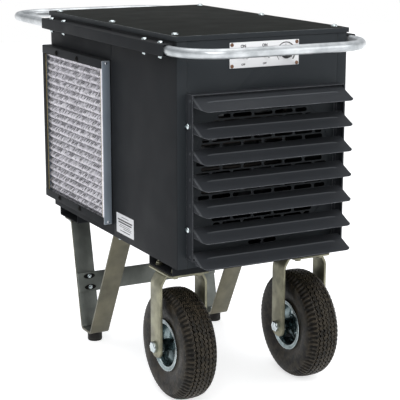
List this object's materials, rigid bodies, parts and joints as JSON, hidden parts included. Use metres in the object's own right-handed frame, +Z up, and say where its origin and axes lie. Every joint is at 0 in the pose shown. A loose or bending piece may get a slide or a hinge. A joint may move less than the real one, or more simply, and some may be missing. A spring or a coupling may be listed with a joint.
{
  "type": "forced air heater",
  "caption": "Portable electric forced air heater in a black sheet-metal cabinet on two pneumatic wheels and two V legs, with louvred outlet, slide-out filter and tube handles.",
  "frame": {"origin": "on the floor under the centre of the overall box, push handle and front handle included", "axes": "+Z up; the air blows towards -Y; +X to the right of a person facing the outlet, as the picture's right"},
  "size_m": [0.4886, 1.1292, 0.8483],
  "materials": {
    "black_paint": "semi-matt black powder coat",
    "filter_frame": "plain aluminium channel",
    "filter_mesh": "expanded aluminium mesh",
    "bright_tube": "bright galvanised tube",
    "control_plate": "satin plate",
    "black_plastic": "moulded black plastic",
    "toggle_steel": "plated toggle lever",
    "galvanised": "galvanised sheet",
    "motor_paint": "dark grey enamel",
    "element_steel": "heat-darkened sheath steel",
    "zinc_plate": "zinc plated, slightly yellow",
    "bar_steel": "mill-finish flat bar",
    "tyre_rubber": "dusty rubber",
    "foot_rubber": "black rubber"
  },
  "bodies": {
    "cabinet": {"base_pan": "black_paint", "left_side_panel": "black_paint", "left_intake_panel": "black_paint", "right_side_panel": "black_paint", "front_panel": "black_paint", "rear_panel": "black_paint", "top_cover": "black_paint", "filter_rail_upper": "black_paint", "filter_rail_lower": "black_paint", "filter_stop": "black_paint", "left_handle_rail": "black_paint", "right_handle_rail": "black_paint", "louvre_frame": "black_paint", "outlet_guard": "black_paint", "front_channel": "black_paint", "rear_channel": "black_paint", "front_handle": "bright_tube", "rear_handle": "bright_tube", "control_plate": "control_plate", "heat_switch_body": "black_plastic", "fan_switch_body": "black_plastic", "contactor": "black_plastic", "terminal_block": "black_plastic", "cable_gland": "black_plastic", "thermostat_body": "galvanised", "fan_shroud": "galvanised", "motor_bracket": "galvanised", "element_plate": "galvanised", "control_shelf": "galvanised", "overheat_cutout": "galvanised", "fan_motor": "motor_paint", "heating_element_1": "element_steel", "heating_element_2": "element_steel", "heating_element_3": "element_steel", "left_caster_bracket": "zinc_plate", "left_axle_bolt": "zinc_plate", "left_leg": "bar_steel", "left_foot": "foot_rubber", "right_caster_bracket": "zinc_plate", "right_axle_bolt": "zinc_plate", "right_leg": "bar_steel", "right_foot": "foot_rubber", "leg_cross_bar": "bar_steel"},
    "left_wheel": {"left_tyre": "tyre_rubber", "left_rim": "zinc_plate"},
    "right_wheel": {"right_tyre": "tyre_rubber", "right_rim": "zinc_plate"},
    "fan": {"fan_blades": "galvanised"},
    "filter": {"filter_frame": "filter_frame", "filter_media": "filter_mesh"},
    "heat_lever": {"heat_toggle": "toggle_steel"},
    "fan_lever": {"fan_toggle": "toggle_steel"},
    "dial": {"thermostat_knob": "black_plastic"},
    "louvre_1": {"louvre_blade_1": "black_paint"},
    "louvre_2": {"louvre_blade_2": "black_paint"},
    "louvre_3": {"louvre_blade_3": "black_paint"},
    "louvre_4": {"louvre_blade_4": "black_paint"},
    "louvre_5": {"louvre_blade_5": "black_paint"},
    "louvre_6": {"louvre_blade_6": "black_paint"},
    "louvre_7": {"louvre_blade_7": "black_paint"}
  },
  "joints": [
    {"name": "left_wheel_spin", "type": "hinge", "parent": "cabinet", "child": "left_wheel", "pos_m": [-0.162, -0.3515, 0.13], "axis": [1, 0, 0], "continuous": true},
    {"name": "right_wheel_spin", "type": "hinge", "parent": "cabinet", "child": "right_wheel", "pos_m": [0.162, -0.3515, 0.13], "axis": [1, 0, 0], "continuous": true},
    {"name": "fan_spin", "type": "hinge", "parent": "cabinet", "child": "fan", "pos_m": [0, -0.1205, 0.542], "axis": [0, 1, 0], "continuous": true},
    {"name": "filter_slide", "type": "slide", "parent": "cabinet", "child": "filter", "axis": [0, -1, 0], "range_m": [0, 0.38]},
    {"name": "heat_switch_flip", "type": "hinge", "parent": "cabinet", "child": "heat_lever", "pos_m": [-0.054, -0.4525, 0.8], "axis": [1, 0, 0], "range_deg": [-26, 0]},
    {"name": "fan_switch_flip", "type": "hinge", "parent": "cabinet", "child": "fan_lever", "pos_m": [0, -0.4525, 0.8], "axis": [1, 0, 0], "range_deg": [-26, 0]},
    {"name": "thermostat_turn", "type": "hinge", "parent": "cabinet", "child": "dial", "pos_m": [0.054, -0.4595, 0.8], "axis": [0, 1, 0], "range_deg": [-135, 135]},
    {"name": "louvre_1_tilt", "type": "hinge", "parent": "cabinet", "child": "louvre_1", "pos_m": [0, -0.4685, 0.711], "axis": [1, 0, 0], "range_deg": [-26, 28]},
    {"name": "louvre_2_tilt", "type": "hinge", "parent": "cabinet", "child": "louvre_2", "pos_m": [0, -0.4685, 0.6538], "axis": [1, 0, 0], "range_deg": [-26, 28]},
    {"name": "louvre_3_tilt", "type": "hinge", "parent": "cabinet", "child": "louvre_3", "pos_m": [0, -0.4685, 0.5966], "axis": [1, 0, 0], "range_deg": [-26, 28]},
    {"name": "louvre_4_tilt", "type": "hinge", "parent": "cabinet", "child": "louvre_4", "pos_m": [0, -0.4685, 0.5394], "axis": [1, 0, 0], "range_deg": [-26, 28]},
    {"name": "louvre_5_tilt", "type": "hinge", "parent": "cabinet", "child": "louvre_5", "pos_m": [0, -0.4685, 0.4822], "axis": [1, 0, 0], "range_deg": [-26, 28]},
    {"name": "louvre_6_tilt", "type": "hinge", "parent": "cabinet", "child": "louvre_6", "pos_m": [0, -0.4685, 0.425], "axis": [1, 0, 0], "range_deg": [-26, 28]},
    {"name": "louvre_7_tilt", "type": "hinge", "parent": "cabinet", "child": "louvre_7", "pos_m": [0, -0.4685, 0.3678], "axis": [1, 0, 0], "range_deg": [-26, 28]}
  ]
}
